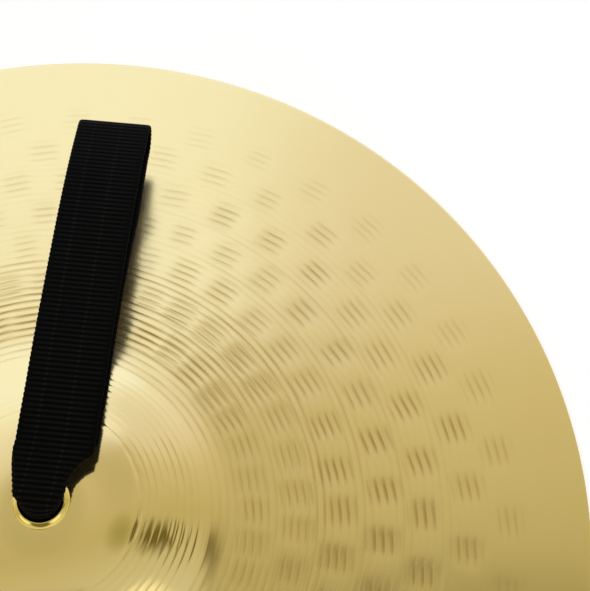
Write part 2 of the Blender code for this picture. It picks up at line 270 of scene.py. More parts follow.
# The floor's own glow, where the camera or the metal sees it
FLOOR_FILL = 0.42
FLOOR_COLOUR = (0.86, 0.88, 0.94, 1)
SKY_AXIS = (-0.255, 0.951, -0.174)
SKY_STOPS = [
    (0.0, (0.80, 0.80, 0.78)), (0.25, (0.66, 0.64, 0.56)), (0.44, (0.55, 0.50, 0.32)),
    (0.475, (0.56, 0.51, 0.33)), (0.587, (0.66, 0.61, 0.48)), (0.70, (0.82, 0.78, 0.82)),
    (0.80, (1.00, 1.06, 1.28)), (0.875, (1.02, 1.13, 1.47)), (1.0, (1.03, 1.12, 1.32)),
]
FRONT_BAND = ((0.0, 0.0), (0.33, 0.0), (0.37, 1.0), (0.405, 1.0), (0.435, 0.0))
# Soft patches of light and shade: direction, outer edge and core as shares along it, strength, colour, and
# whether only the band of FRONT_BAND counts
STUDIO_PATCHES = (
    ((0.55, 0.09, 0.83), 0.988, 0.995, 1.0, (0.14, 0.11, 0.02), True),
    ((0.265, 0.085, 0.960), 0.9976, 0.9994, 1.0, (0.36, 0.33, 0.13), False),
    ((-0.05, -0.70, 0.71), 0.92, 0.97, 1.0, (0.20, 0.17, 0.07), False),
    ((0.47, -0.50, 0.73), 0.976, 0.988, 1.0, (1.15, 1.12, 1.0), False),
    ((-0.66, -0.48, 0.58), 0.976, 0.988, 1.0, (1.15, 1.12, 1.0), False),
    ((0.05, 0.66, 0.75), 0.985, 0.998, 1.0, (1.03, 1.10, 1.36), False),
    ((0.20, 0.42, 0.885), 0.985, 0.9988, 0.6, (0.50, 0.45, 0.31), False),
    ((-0.17, 0.19, 0.967), 0.992, 0.9993, 0.5, (0.42, 0.40, 0.25), False),
    ((-0.31, 0.50, 0.81), 0.975, 0.996, 0.38, (1.00, 1.05, 1.22), False),
    ((0.36, 0.73, 0.58), 0.978, 0.9973, 0.75, (0.79, 0.77, 0.82), False),
)
CAMERA_PLACE = (0.326317, -0.157961, 0.67004)
CAMERA_DEGREES = (22.6012, -0.3549, 0.0)
CAMERA_LENS = 96.51
CAMERA_SHIFT = -0.0431


def smooth(share):
    held = np.clip(share, 0.0, 1.0)
    return held * held * (3 - 2 * held)


def eased(value, start, end):
    """From 0 where the value is at the start to 1 where it is at the end. The end may be the lower one."""
    return smooth((value - start) / (end - start))


def band(value, start, full, fade, end):
    """A band that rises from 0 at its start to 1 where it is full, and fades again to 0 at its end."""
    return eased(value, start, full) * (1 - eased(value, fade, end))


def mix(start, end, share):
    return start + (end - start) * share


def new_material(name):
    """A material with its node tree and its shader."""
    made = bpy.data.materials.new(name)
    made.use_nodes = True
    return made, made.node_tree, made.node_tree.nodes["Principled BSDF"]


def add_node(tree, kind, **settings):
    node = tree.nodes.new(kind)
    for key, value in settings.items():
        setattr(node, key, value)
    return node


def math_node(tree, operation, first, second=None, clamp=False):
    """The result of an operation on sockets or plain numbers."""
    node = add_node(tree, "ShaderNodeMath", operation=operation, use_clamp=clamp)
    for socket, value in zip(node.inputs, (first, second)):
        if value is None:
            continue
        if isinstance(value, (int, float)):
            socket.default_value = value
        else:
            tree.links.new(value, socket)
    return node.outputs[0]


def ramp_node(tree, factor, stops):
    node = add_node(tree, "ShaderNodeValToRGB")
    elements = node.color_ramp.elements
    while len(elements) < len(stops):
        elements.new(0.5)
    for element, (position, colour) in zip(elements, stops):
        element.position = position
        element.color = (*colour, 1)
    tree.links.new(factor, node.inputs["Fac"])
    return node.outputs["Color"]


def noise_node(tree, vector, scale, detail=2.0, roughness=0.5):
    node = add_node(tree, "ShaderNodeTexNoise")
    node.inputs["Scale"].default_value = scale
    node.inputs["Detail"].default_value = detail
    node.inputs["Roughness"].default_value = roughness
    tree.links.new(vector, node.inputs["Vector"])
    return node.outputs["Fac"]


def attribute_node(tree, name):
    return add_node(tree, "ShaderNodeAttribute", attribute_name=name)


def bump_node(tree, height, strength, distance):
    node = add_node(tree, "ShaderNodeBump")
    node.inputs["Strength"].default_value = strength
    node.inputs["Distance"].default_value = distance
    tree.links.new(height, node.inputs["Height"])
    return node.outputs["Normal"]


def scaled_vector(tree, source, scale):
    node = add_node(tree, "ShaderNodeMapping")
    node.inputs["Scale"].default_value = scale
    tree.links.new(source, node.inputs["Vector"])
    return node.outputs["Vector"]


def curve_node(tree, factor, stops):
    """A grey curve through the stops, read at the factor."""
    return ramp_node(tree, factor, [(place, (level,) * 3) for place, level in stops])


def sum_nodes(tree, parts):
    total = parts[0]
    for part in parts[1:]:
        total = math_node(tree, "ADD", total, part)
    return total


def scale_node(tree, value, factor, offset):
    """The value times a plain number, plus another."""
    scaled = math_node(tree, "MULTIPLY_ADD", value, factor)
    scaled.node.inputs[2].default_value = offset
    return scaled


def turns_node(tree, radius, start, pitch):
    """How far into its groove each point is, from 0 to 1."""
    return math_node(tree, "FRACT", scale_node(tree, radius, 1 / pitch, -start / pitch))


def bronze_material():
    """Polished bronze with turned grooves and hammer strokes, their lines darkened by painted shade.

    The plate's attributes give the strength of ridges, strokes and bell lines (forces) and how many strokes
    lie inwards of each point (stroke_turns).
    """
    made, tree, shader = new_material("bronze")
    place = add_node(tree, "ShaderNodeTexCoord").outputs["Object"]
    length = add_node(tree, "ShaderNodeVectorMath", operation="LENGTH")
    tree.links.new(scaled_vector(tree, place, (1, 1, 0)), length.inputs[0])
    radius = length.outputs["Value"]
    reach = math_node(tree, "MULTIPLY", radius, 1 / RAMP_REACH)
    forces = add_node(tree, "ShaderNodeSeparateXYZ")
    tree.links.new(attribute_node(tree, "forces").outputs["Vector"], forces.inputs["Vector"])
    phase = math_node(tree, "FRACT", attribute_node(tree, "stroke_turns").outputs["Fac"])
    ridge_turns = turns_node(tree, radius, RIDGE_START, RIDGE_PITCH)
    bell_turns = turns_node(tree, radius, BELL_LINE_START, BELL_LINE_PITCH)
    grooves = (
        (ridge_turns, forces.outputs["X"], RIDGE_DEPTH, RIDGE_PAINT),
        (phase, forces.outputs["Y"], MARK_DEPTH, MARK_PAINT),
        (bell_turns, forces.outputs["Z"], BELL_LINE_DEPTH, BELL_LINE_PAINT),
    )
    depths, lines = [], []
    # Each kind of groove gives relief, and a line of painted shade standing in for the dark reflection of its
    # steep face
    for turns, force, depth, paint in grooves:
        deep = math_node(tree, "MULTIPLY", curve_node(tree, turns, GROOVE_STOPS), force)
        depths.append(math_node(tree, "MULTIPLY", deep, -depth / MM))
        line = math_node(tree, "MULTIPLY", curve_node(tree, turns, LINE_STOPS), force)
        lines.append(math_node(tree, "MULTIPLY", line, paint))
    # Painted shade over the whole of each hammer mark
    lines.append(math_node(tree, "MULTIPLY", forces.outputs["Y"], MARK_SHADE))
    line = math_node(tree, "ADD", sum_nodes(tree, lines), 0.0, clamp=True)

    # The painted shade darkens the bronze's colour
    shade = add_node(tree, "ShaderNodeMix", data_type="RGBA")
    tree.links.new(line, shade.inputs["Factor"])
    cloud = noise_node(tree, place, CLOUD_SCALE, 3.0)
    tree.links.new(ramp_node(tree, cloud, BRONZE_TINTS), shade.inputs["A"])
    shade.inputs["B"].default_value = GROOVE_SHADE_COLOUR
    tree.links.new(shade.outputs["Result"], shader.inputs["Base Color"])
    scuff = noise_node(tree, place, SCUFF_SCALE, 4.0)
    rough = sum_nodes(tree, [
        curve_node(tree, reach, ROUGHNESS_STOPS), math_node(tree, "MULTIPLY", line, LINE_ROUGHNESS),
        math_node(tree, "MULTIPLY", scuff, SCUFF_ROUGHNESS),
    ])
    tree.links.new(rough, shader.inputs["Roughness"])
    shader.inputs["Metallic"].default_value = BRONZE_METALLIC

    spun = add_node(tree, "ShaderNodeCombineXYZ")
    tree.links.new(radius, spun.inputs["X"])
    fine = noise_node(tree, spun.outputs["Vector"], FINE_SCALE)
    fine = math_node(tree, "MULTIPLY", fine, curve_node(tree, reach, FINE_STOPS))
    fine = math_node(tree, "MULTIPLY", fine, FINE_DEPTH / MM)
    tree.links.new(bump_node(tree, sum_nodes(tree, depths + [fine]), 1.0, MM), shader.inputs["Normal"])
    return made


def brass_material():
    """Bright yellow brass with faint blotches."""
    made, tree, shader = new_material("brass")
    place = add_node(tree, "ShaderNodeTexCoord").outputs["Object"]
    cloud = noise_node(tree, place, 160.0, 3.0)
    tree.links.new(ramp_node(tree, cloud, BRASS_TINTS), shader.inputs["Base Color"])
    rough = scale_node(tree, noise_node(tree, place, 420.0, 4.0), 0.1, 0.02)
    tree.links.new(rough, shader.inputs["Roughness"])
    shader.inputs["Metallic"].default_value = 1.0
    tree.links.new(bump_node(tree, cloud, 0.05, 0.6 * MM), shader.inputs["Normal"])
    return made


def webbing_material():
    """Black nylon webbing: ribs across it, made of yarns side by side, with flat selvages."""
    made, tree, shader = new_material("webbing")
    weave = attribute_node(tree, "weave").outputs["Vector"]
    parts = add_node(tree, "ShaderNodeSeparateXYZ")
    tree.links.new(weave, parts.inputs["Vector"])
    across, along, rib = parts.outputs["X"], parts.outputs["Y"], parts.outputs["Z"]
    yarn = math_node(tree, "SINE", math_node(tree, "MULTIPLY", across, 2 * math.pi / YARN_PITCH))
    turn = math_node(tree, "SINE", math_node(tree, "MULTIPLY", along, math.pi / RIB_PITCH))
    cross = math_node(tree, "MULTIPLY", yarn, turn)
    place = scaled_vector(tree, weave, (1, 1, 0))
    fuzz = noise_node(tree, place, FUZZ_SCALE, 3.0, 0.65)
    patches = noise_node(tree, place, PATCH_SCALE)
    columns = curve_node(tree, scale_node(tree, across, 1 / WEBBING_WIDTH, 0.5), COLUMN_STOPS)
    uneven_tone = math_node(tree, "ADD", fuzz, math_node(tree, "MULTIPLY", patches, 0.6))
    # Painted highlight on the rib crests and painted shade between them, with less on the flat selvages and
    # more along the pale yarns' columns
    rib_highlight_tone = math_node(tree, "MULTIPLY", math_node(tree, "POWER", rib, 5.0), columns)
    rib_highlight_tone = math_node(tree, "MULTIPLY", rib_highlight_tone, uneven_tone)
    rib_highlight_tone = math_node(tree, "MULTIPLY", rib_highlight_tone, scale_node(tree, cross, 0.65, 0.75), clamp=True)
    tree.links.new(ramp_node(tree, rib_highlight_tone, WEBBING_TONES), shader.inputs["Base Color"])
    shader.inputs["Roughness"].default_value = 0.62
    shader.inputs["Specular IOR Level"].default_value = 0.045
    height = math_node(tree, "ADD", math_node(tree, "MULTIPLY", cross, 0.5), fuzz)
    tree.links.new(bump_node(tree, height, 0.55, 0.18 * MM), shader.inputs["Normal"])
    return made


def floor_material():
    """A pale floor that reads as white paper to the camera and to metal, and keeps shadows."""
    made, tree, shader = new_material("floor")
    shader.inputs["Base Color"].default_value = FLOOR_COLOUR
    shader.inputs["Roughness"].default_value = 0.9
    shader.inputs["Specular IOR Level"].default_value = 0.0
    path = add_node(tree, "ShaderNodeLightPath")
    seen = math_node(tree, "MAXIMUM", path.outputs["Is Camera Ray"], path.outputs["Is Glossy Ray"])
    seen = math_node(tree, "MAXIMUM", seen, path.outputs["Is Transmission Ray"])
    glow = add_node(tree, "ShaderNodeEmission")
    tree.links.new(math_node(tree, "MULTIPLY", seen, FLOOR_FILL), glow.inputs["Strength"])
    both = add_node(tree, "ShaderNodeAddShader")
    tree.links.new(shader.outputs["BSDF"], both.inputs[0])
    tree.links.new(glow.outputs["Emission"], both.inputs[1])
    tree.links.new(both.outputs["Shader"], tree.nodes["Material Output"].inputs["Surface"])
    return made


# Bronze plates


def bell_height(radius):
    reach = BELL_RADIUS - BELL_FLAT_RADIUS
    arc = (reach**2 + BELL_RISE**2) / (2 * BELL_RISE)
    out = np.maximum(radius - BELL_FLAT_RADIUS, 0.0)
    return BELL_TOP - arc + np.sqrt(arc**2 - np.minimum(out, reach) ** 2)


def bow_height(radius):
    share = np.clip((radius - BELL_RADIUS) / (LAND_RADIUS - BELL_RADIUS), 0.0, 1.0)
    edge = np.maximum(radius - LAND_RADIUS, 0.0)
    return RIM_HEIGHT + BOW_RISE * (1 - share**BOW_CURVE) - RIM_SLOPE * edge


def upper_height(radius):
    """Height of the upper face: bell, a smooth foot, and bow."""
    step = 0.01 * MM
    span = FOOT_END - FOOT_START
    ends = np.array([FOOT_START, FOOT_END])
    z0, z1 = bell_height(ends[0]), bow_height(ends[1])
    m0 = (z0 - bell_height(ends[0] - step)) / step * span
    m1 = (bow_height(ends[1] + step) - z1) / step * span
    t = np.clip((radius - FOOT_START) / span, 0.0, 1.0)
    foot = (
        (2 * t**3 - 3 * t**2 + 1) * z0 + (t**3 - 2 * t**2 + t) * m0
        + (3 * t**2 - 2 * t**3) * z1 + (t**3 - t**2) * m1
    )
    outside = np.where(radius > FOOT_END, bow_height(radius), foot)
    return np.where(radius < FOOT_START, bell_height(radius), outside)


def groove_radii(start, pitch, count):
    return (start + (np.arange(count)[:, None] + TURN_SAMPLES[None, :]) * pitch).ravel()


def plate_radii():
    """Ring radii of the upper face: close together where there are grooves."""
    ridges = groove_radii(RIDGE_START, RIDGE_PITCH, RIDGE_COUNT)
    return np.concatenate([
        np.array([HOLE_RADIUS + 0.12 * MM, 10.4 * MM, 11.6 * MM, 12.6 * MM]),
        np.linspace(14 * MM, 36 * MM, 12),
        groove_radii(BELL_LINE_START, BELL_LINE_PITCH, BELL_LINE_COUNT),
        np.array([63.8 * MM]),
        ridges,
        np.linspace(ridges[-1] + 1.2 * MM, 198 * MM, 11),
        np.linspace(200.5 * MM, LAND_RADIUS, 8),
    ])


def lathe_strength(radius):
    """How deep the unbroken turned ridges are: deep near the bell, then only between the hammer rings."""
    r = radius / MM
    between = sum(
        level * np.exp(-(((r - middle) / RIDGE_SPREAD) ** 2)) for middle, level in RIDGES_BETWEEN
    )
    inner = INNER_RIDGE_LEVEL * band(r, *INNER_RIDGES)
    return inner + between + FAINT_RIDGE_LEVEL * band(r, *FAINT_RIDGES)


def groove_shape(turns):
    """Depth of a groove: it deepens slowly outwards, then climbs steeply."""
    places, levels = zip(*GROOVE_STOPS)
    return np.interp(turns - np.floor(turns), places, levels)


def uneven(turns, angles, rng):
    """A strength for each groove that changes a little along its length."""
    index = np.clip(np.floor(turns + 1e-6).astype(int), -1, GROOVES_DRAWN - 2) + 1
    level = rng.uniform(*GROOVE_LEVELS, GROOVES_DRAWN)[index][:, None]
    starts = rng.uniform(0, 2 * math.pi, (GROOVES_DRAWN, len(GROOVE_WAVES)))[index]
    waves = sum(
        size * np.sin(count * angles[None, :] + starts[:, k][:, None])
        for k, (count, size) in enumerate(GROOVE_WAVES)
    )
    return level * (1 + waves)


def hammer_field(radii, angles, rng):
    """Strength and turns of the strokes in each hammer mark, and the shallow dent that it lies in."""
    force = np.zeros((len(radii), len(angles)))
    turns = np.zeros_like(force)
    dents = np.zeros_like(force)
    for ring, offset, level in HAMMER_RINGS:
        spacing = 2 * math.pi * ring * MM / HAMMERS_PER_RING
        outer = eased(ring, *MARK_CHANGE)
        for k in range(HAMMERS_PER_RING):
            stray = rng.normal(0, MARK_STRAY_ROUND)
            centre = math.radians(offset + k * 360 / HAMMERS_PER_RING + stray)
            middle = (ring + rng.normal(0, MARK_STRAY_OUT)) * MM
            half = min(rng.uniform(*MARK_HALF_WIDTHS) * MM, MARK_WIDEST * spacing)
            reach = (rng.uniform(*MARK_REACHES) - MARK_SHORTENING * outer) * MM
            own = level * rng.uniform(*MARK_LEVELS)
            slide = rng.uniform(*MARK_SLIDES)
            tilt = rng.normal(0, MARK_TILT)
            pitch = RIDGE_PITCH * (rng.uniform(*MARK_PITCHES) + MARK_PITCH_GAIN * outer)
            rows = np.nonzero(np.abs(radii - middle) < 1.5 * reach)[0]
            turn = (angles - centre + math.pi) % (2 * math.pi) - math.pi
            columns = np.nonzero(np.abs(turn) * middle < 2.0 * half)[0]
            u = turn[columns][None, :] * radii[rows][:, None] / half
            v = ((radii[rows] - middle) / reach)[:, None]
            bend = slide + tilt * u + 0.06 * np.sin(2.4 * u)
            counted = FIRST_STROKE + (radii[rows][:, None] - middle) / pitch + bend
            here = own * np.exp(-np.abs(u) ** 4 - np.abs(v) ** 4)
            place = np.ix_(rows, columns)
            stronger = here > force[place]
            turns[place] = np.where(stronger, counted, turns[place])
            force[place] = np.maximum(force[place], here)
            dents[place] += own * np.exp(-(u**2) - v**2)
    return force, turns, dents


def grid_faces(rows, columns, closed_rows=False):
    faces = []
    last = rows if closed_rows else rows - 1
    for i in range(last):
        a = i * columns
        b = ((i + 1) % rows) * columns
        for j in range(columns):
            k = (j + 1) % columns
            faces.append((a + j, b + j, b + k, a + k))
    return faces


def new_object(name, verts, faces, finish, attributes=()):
    mesh = bpy.data.meshes.new(name)
    mesh.from_pydata([tuple(v) for v in verts], [], faces)
    mesh.update()
    mesh.shade_smooth()
    for label, kind, values in attributes:
        layer = mesh.attributes.new(label, kind, "POINT")
        field = "vector" if kind == "FLOAT_VECTOR" else "value"
        layer.data.foreach_set(field, np.asarray(values, np.float32).ravel())
    mesh.materials.append(finish)
    made = bpy.data.objects.new(name, mesh)
    bpy.context.scene.collection.objects.link(made)
    return made


def plate_relief(radii, angles, rng):
    """Strengths of the ridges, strokes and bell lines, the strokes' turns, and the depth of it all."""
    r = radii / MM
    force, turns, dents = hammer_field(radii, angles, rng)
    ridge_turns = (radii - RIDGE_START) / RIDGE_PITCH
    own = uneven(ridge_turns, angles, rng)
    ridge = (lathe_strength(radii) * (ridge_turns > -0.5))[:, None] * own
    bell_turns = (radii - BELL_LINE_START) / BELL_LINE_PITCH
    # The bell's lines deepen towards its foot, and the first one is deep too.
    bell = smooth((radii - BELL_LINE_START) / MM) * (1 - eased(r, 60, 66))
    bell *= 0.45 + 0.8 * eased(r, 44, 60) + 1.2 * (np.abs(bell_turns - 0.5) < 0.51)

    # Round the plate, the strengths below set both the relief and the lines' painted shade, so that the shade
    # follows how the light falls
    # The ridges near the bell are shallow on two opposite sides, where the bell's own lines show most.
    degrees = np.degrees(angles)
    off_side = np.abs((degrees + 90 - BELL_LINES_AT) % 180 - 90)
    side_on = eased(off_side, 40, 12)[None, :]
    ridge *= 1 - RIDGES_LOST_AT_BELL_LINES * (side_on * (1 - eased(r, 100, 114))[:, None])
    # The hammer marks vary round the plate. Marks and ridges are both weak where the strap points, and
    # opposite.
    by_side = np.interp(degrees % 180, *zip(*MARK_SHOWS))[None, :]
    force *= 1 + (by_side - 1) * eased(r, 104, 118)[:, None]
    off_strap = np.abs(degrees % 180 - STRAP_AT)
    at_strap = eased(off_strap, 42, 18)[None, :]
    near_strap = eased(off_strap, 55, 31)[None, :]
    middle = band(r, *MIDDLE_MARKS)[:, None]
    weaker = np.maximum(near_strap * middle, at_strap * eased(r, 130, 146)[:, None])
    force *= 1 - MARKS_LOST_AT_STRAP * weaker
    ridge *= 1 - RIDGES_LOST_AT_STRAP * at_strap * eased(r, 106, 126)[:, None]
    bell = bell[:, None] * uneven(bell_turns, angles, rng) * (0.3 + 0.7 * side_on)

    sink = (
        ridge * groove_shape(ridge_turns)[:, None] * RIDGE_DEPTH
        + bell * groove_shape(bell_turns)[:, None] * BELL_LINE_DEPTH
        + force * groove_shape(turns) * MARK_DEPTH + dents * DENT_DEPTH
    )
    return ridge, force, bell, turns, sink


def add_plate(side, x, seed, finish):
    """One bronze plate: a closed surface of rings, from the upper face over the rim to the underside."""
    radii = plate_radii()
    angles = np.arange(SEGMENTS) * 2 * math.pi / SEGMENTS
    ridge, force, bell, turns, sink = plate_relief(radii, angles, np.random.default_rng(seed))
    heights = upper_height(radii)[:, None] - sink
    land = upper_height(np.array([PLATE_RADIUS]))[0]
    rim = [
        (PLATE_RADIUS - 0.3 * MM, land + 0.05 * MM), (PLATE_RADIUS - 0.08 * MM, land - 0.03 * MM),
        (PLATE_RADIUS, land - 0.25 * MM), (PLATE_RADIUS, 0.25 * MM),
        (PLATE_RADIUS - 0.15 * MM, 0.06 * MM), (PLATE_RADIUS - 0.6 * MM, 0.0), (LAND_RADIUS, 0.0),
    ]
    under_radii = np.concatenate([
        np.linspace(LAND_RADIUS - 8 * MM, 80 * MM, 9), np.linspace(76 * MM, 14 * MM, 14),
        np.array([HOLE_RADIUS + 0.1 * MM]),
    ])
    step = 0.05 * MM
    slope = (upper_height(under_radii + step) - upper_height(under_radii - step)) / (2 * step)
    under_heights = upper_height(under_radii) - PLATE_THICKNESS * np.hypot(1, slope)
    bore = [(HOLE_RADIUS, BELL_TOP - PLATE_THICKNESS + 0.15 * MM), (HOLE_RADIUS, BELL_TOP - 0.15 * MM)]

    ring_radii = np.concatenate([radii, [p[0] for p in rim], under_radii, [p[0] for p in bore]])
    ring_heights = np.concatenate([
        heights,
        np.repeat(np.array([[p[1]] for p in rim]), SEGMENTS, 1),
        np.repeat(under_heights[:, None], SEGMENTS, 1),
        np.repeat(np.array([[p[1]] for p in bore]), SEGMENTS, 1),
    ])
    verts = np.stack([
        ring_radii[:, None] * np.cos(angles)[None, :], ring_radii[:, None] * np.sin(angles)[None, :],
        ring_heights,
    ], -1).reshape(-1, 3)
    forces = np.zeros((len(ring_radii), SEGMENTS, 3))
    forces[: len(radii)] = np.stack([ridge, force, bell], -1)
    under = slice(len(radii) + len(rim), len(radii) + len(rim) + len(under_radii))
    forces[under, :, 0] = UNDERSIDE_RIDGES * (1 + 0.3 * np.sin(5 * angles) * np.sin(2 * angles + 1))
    stroke_turns = np.zeros((len(ring_radii), SEGMENTS))
    stroke_turns[: len(radii)] = turns
    made = new_object(
        f"{side}_plate", verts, grid_faces(len(ring_radii), SEGMENTS, True), finish,
        [("forces", "FLOAT_VECTOR", forces), ("stroke_turns", "FLOAT", stroke_turns)],
    )
    made.location.x = x
    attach(made, f"{side}_cymbal")
    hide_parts(f"{side}_cymbal_plate")


# Grommets


def turned(name, outline, steps, finish):
    """A closed ring turned from an outline of (radius, height)."""
    angles = np.arange(steps) * 2 * math.pi / steps
    points = np.array(outline)
    verts = np.stack([
        points[:, 0][:, None] * np.cos(angles), points[:, 0][:, None] * np.sin(angles),
        np.repeat(points[:, 1][:, None], steps, 1),
    ], -1).reshape(-1, 3)
    return new_object(name, verts, grid_faces(len(points), steps, True), finish)


def arch(inner, outer, base, height, count):
    """Half an ellipse of (radius, height), from the outer radius over to the inner one."""
    middle, half = (inner + outer) / 2, (outer - inner) / 2
    angles = np.radians(np.linspace(0, 180, count))
    return [(middle + half * math.cos(a), base + height * math.sin(a)) for a in angles]


def rolled_flange(base, count=12):
    """Outline of the flange: a tight roll at the bore, then a long slope outwards."""
    roll = 0.85 * MM
    crest = BORE_RADIUS + roll
    height = FLANGE_TOP - base
    angles = np.linspace(0, math.pi / 2, count)
    inner = [(crest - roll * math.cos(a), base + height * math.sin(a)) for a in angles]
    share = np.linspace(0, 1, count + 4)[1:]
    slope = (1 - share**1.5) ** 0.85
    return inner + [(mix(crest, FLANGE_RADIUS, w), base + height * h) for w, h in zip(share, slope)]


def add_turned(side, name, node, outline, x, finish):
    """A turned piece that rides on the cymbal and replaces one node."""
    made = turned(f"{side}_{name}", outline, 96, finish)
    made.location.x = x
    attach(made, f"{side}_cymbal")
    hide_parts(f"{side}_{node}")


def add_grommet(side, x, finish):
    seat = BELL_TOP + 0.03 * MM
    flange = rolled_flange(seat + 0.25 * MM)
    skirt = [(FLANGE_RADIUS - 0.02 * MM, seat + 0.1 * MM), (FLANGE_RADIUS - 0.15 * MM, seat)]
    barrel = [(BARREL_RADIUS, seat), (BARREL_RADIUS, LIP_TOP)]
    lip = arch(BORE_RADIUS, LIP_RADIUS, LIP_TOP, -LIP_HEIGHT, 14)
    add_turned(side, "grommet", "grommet_eyelet", flange + skirt + barrel + lip, x, finish)

    inner, outer = BARREL_RADIUS + 0.1 * MM, WASHER_RADIUS
    top, bottom = BELL_TOP - PLATE_THICKNESS, LIP_TOP
    cut = 0.12 * MM
    ring = [
        (inner, top - cut), (inner + cut, top), (outer - cut, top), (outer, top - cut),
        (outer, bottom + cut), (outer - cut, bottom), (inner + cut, bottom), (inner, bottom + cut),
    ]
    add_turned(side, "washer", "grommet_washer", ring, x, finish)


# Straps


def resample(points, spacing):
    """Points an equal distance apart along a path, after their distances along it."""
    reach = np.concatenate([[0], np.cumsum(np.linalg.norm(np.diff(points, axis=0), axis=1))])
    count = int(round(reach[-1] / spacing)) + 1
    along = np.linspace(0, reach[-1], count)
    places = np.stack([np.interp(along, reach, points[:, k]) for k in range(points.shape[1])], -1)
    return along, places


def bezier(points, share):
    a, b, c, d = [np.array(p, float) for p in points]
    t = share[:, None]
    return a * (1 - t) ** 3 + b * 3 * (1 - t) ** 2 * t + c * 3 * (1 - t) * t**2 + d * t**3


def unit(vectors):
    return vectors / np.linalg.norm(vectors, axis=-1, keepdims=True)


def strap_legs():
    """Centre lines of the two legs in the pivot's frame, as (distance out, height), and the fold between."""
    drop = bow_height(np.array([STRAP_REACH]))[0] + FOLD_HEIGHT - PIVOT_HEIGHT
    controls = [
        (LEG_START, 0), (STRAP_REACH * 0.35, STRAP_CREST), (STRAP_REACH * 0.73, -STRAP_DROOP),
        (STRAP_REACH, drop),
    ]
    middle = bezier(controls, np.linspace(0, 1, 160))
    way = unit(np.gradient(middle, axis=0))
    through = np.stack([-way[:, 1], way[:, 0]], -1)
    fan = np.clip((middle[:, 0] - LEG_START) / FAN_LENGTH, 0, 1)
    thickness = mix(GATHERED_THICKNESS, WEBBING_THICKNESS, fan)
    opening = smooth(1 - (STRAP_REACH - middle[:, 0]) / LOOP_LENGTH)
    apart = mix(thickness + LAYER_GAP, 2 * FOLD_RADIUS, opening)[:, None]
    upper = middle + through * apart / 2
    lower = middle - through * apart / 2
    angles = np.linspace(0, math.pi, 40)[1:-1, None]
    fold = middle[-1] + (through[-1] * np.cos(angles) + way[-1] * np.sin(angles)) * FOLD_RADIUS
    return upper, fold, lower


def bend_into_bore(depth, front, radius, top):
    """From deep in the grommet up and over: points of (out, up), ending level at the top of the bend."""
    angles = np.linspace(math.pi, math.pi / 2, 30)[:, None]
    centre = np.array([front + radius, top - radius])
    arc = centre + radius * np.concatenate([np.cos(angles), np.sin(angles)], 1)
    return np.concatenate([[[front, depth]], arc])


def hemmed(u, flat_left, flat_right):
    """Cross-section of webbing whose edges are turned under, where they reach past its flat part."""
    flat = np.where(u < 0, flat_left, flat_right)
    past = np.maximum(np.abs(u) - flat, 0)
    turn = np.minimum(past / TUCK_RADIUS, math.pi)
    back = np.maximum(past - math.pi * TUCK_RADIUS, 0)
    sideways = np.sign(u) * (np.minimum(np.abs(u), flat) + TUCK_RADIUS * np.sin(turn) - back)
    return sideways, -TUCK_RADIUS * (1 - np.cos(turn))


def rolled(u, curl):
    """Cross-section of webbing that is bent evenly across its width."""
    k = np.where(np.abs(curl) < 1.0, 1.0, curl)
    return np.sin(k * u) / k, (np.cos(k * u) - 1) / k


def across_positions(columns):
    """Positions across the webbing, closer together at its two edges."""
    edge = np.array([0.0, 0.25, 0.6, 1.1]) * MM
    half = WEBBING_WIDTH / 2
    inside = np.linspace(-half + 1.9 * MM, half - 1.9 * MM, columns)
    return np.concatenate([-half + edge, inside, (half - edge)[::-1]])


def strip(name, centres, sides, normals, across, shape, thickness, along, finish):
    """A closed strip of ribbed webbing, swept along rows of centres.

    sides and normals are each row's directions, and shape gives its cross-section as two arrays:
    how far each point is to the side and along the normal.
    """
    half = WEBBING_WIDTH / 2
    rows = len(along)
    inset = half - np.abs(across)
    round_off = np.sqrt(np.clip(1 - (1 - np.clip(inset / EDGE_ROUNDING, 0, 1)) ** 2, 0, 1))
    selvage = 1 - smooth((inset - SELVAGE_WIDTH) / SELVAGE_BLEND)
    wave = np.abs(np.cos(math.pi * along / RIB_PITCH)) ** 0.9
    sideways, rise = shape
    scalloped = np.sign(across)[None, :] * (inset < SCALLOP_WIDTH)
    sideways = sideways + scalloped * (wave[:, None] - 0.5) * SCALLOP
    run = np.gradient(sideways, axis=1)
    climb = np.gradient(rise, axis=1)
    size = np.hypot(run, climb)
    lean_side, lean_up = -climb / size, run / size
    rib = wave[:, None] * (1 - 0.7 * selvage)[None, :] + SELVAGE_LEVEL * selvage[None, :]
    body = (thickness[:, None] / 2 + (rib - 0.6) * RIB_HEIGHT) * round_off[None, :]

    def face(sign):
        return (
            centres[:, None, :] + sides[:, None, :] * (sideways + sign * lean_side * body)[..., None]
            + normals[:, None, :] * (rise + sign * lean_up * body)[..., None]
        )

    ring = np.concatenate([face(1), face(-1)[:, -2:0:-1, :]], 1)
    count = ring.shape[1]
    # The rib heights also go into the weave attribute, from which the webbing's colour paints highlight on
    # the rib crests and shade between them and on the flat selvages
    position = np.broadcast_to(across, (rows, len(across)))
    weave = np.stack([
        np.concatenate([position, position[:, -2:0:-1]], 1),
        np.repeat(along[:, None], count, 1),
        np.concatenate([rib, rib[:, -2:0:-1]], 1),
    ], -1)
    ends = [tuple(range(count)), tuple(range((rows - 1) * count, rows * count))[::-1]]
    return new_object(
        name, ring.reshape(-1, 3), grid_faces(rows, count) + ends, finish,
        [("weave", "FLOAT_VECTOR", weave.reshape(-1, 3))],
    )


def turn_only(vectors, heading):
    """Directions of the pivot's frame, as (sideways, out, up), in the object's own frame."""
    turn = math.radians(heading)
    c, s = math.cos(turn), math.sin(turn)
    sideways, out, up = vectors.T
    return np.stack([sideways * c - out * s, sideways * s + out * c, up], -1)


def to_world(points, x, heading):
    """Points of the pivot's frame in the object's own frame."""
    return turn_only(points, heading) + np.array([x, 0, PIVOT_HEIGHT])


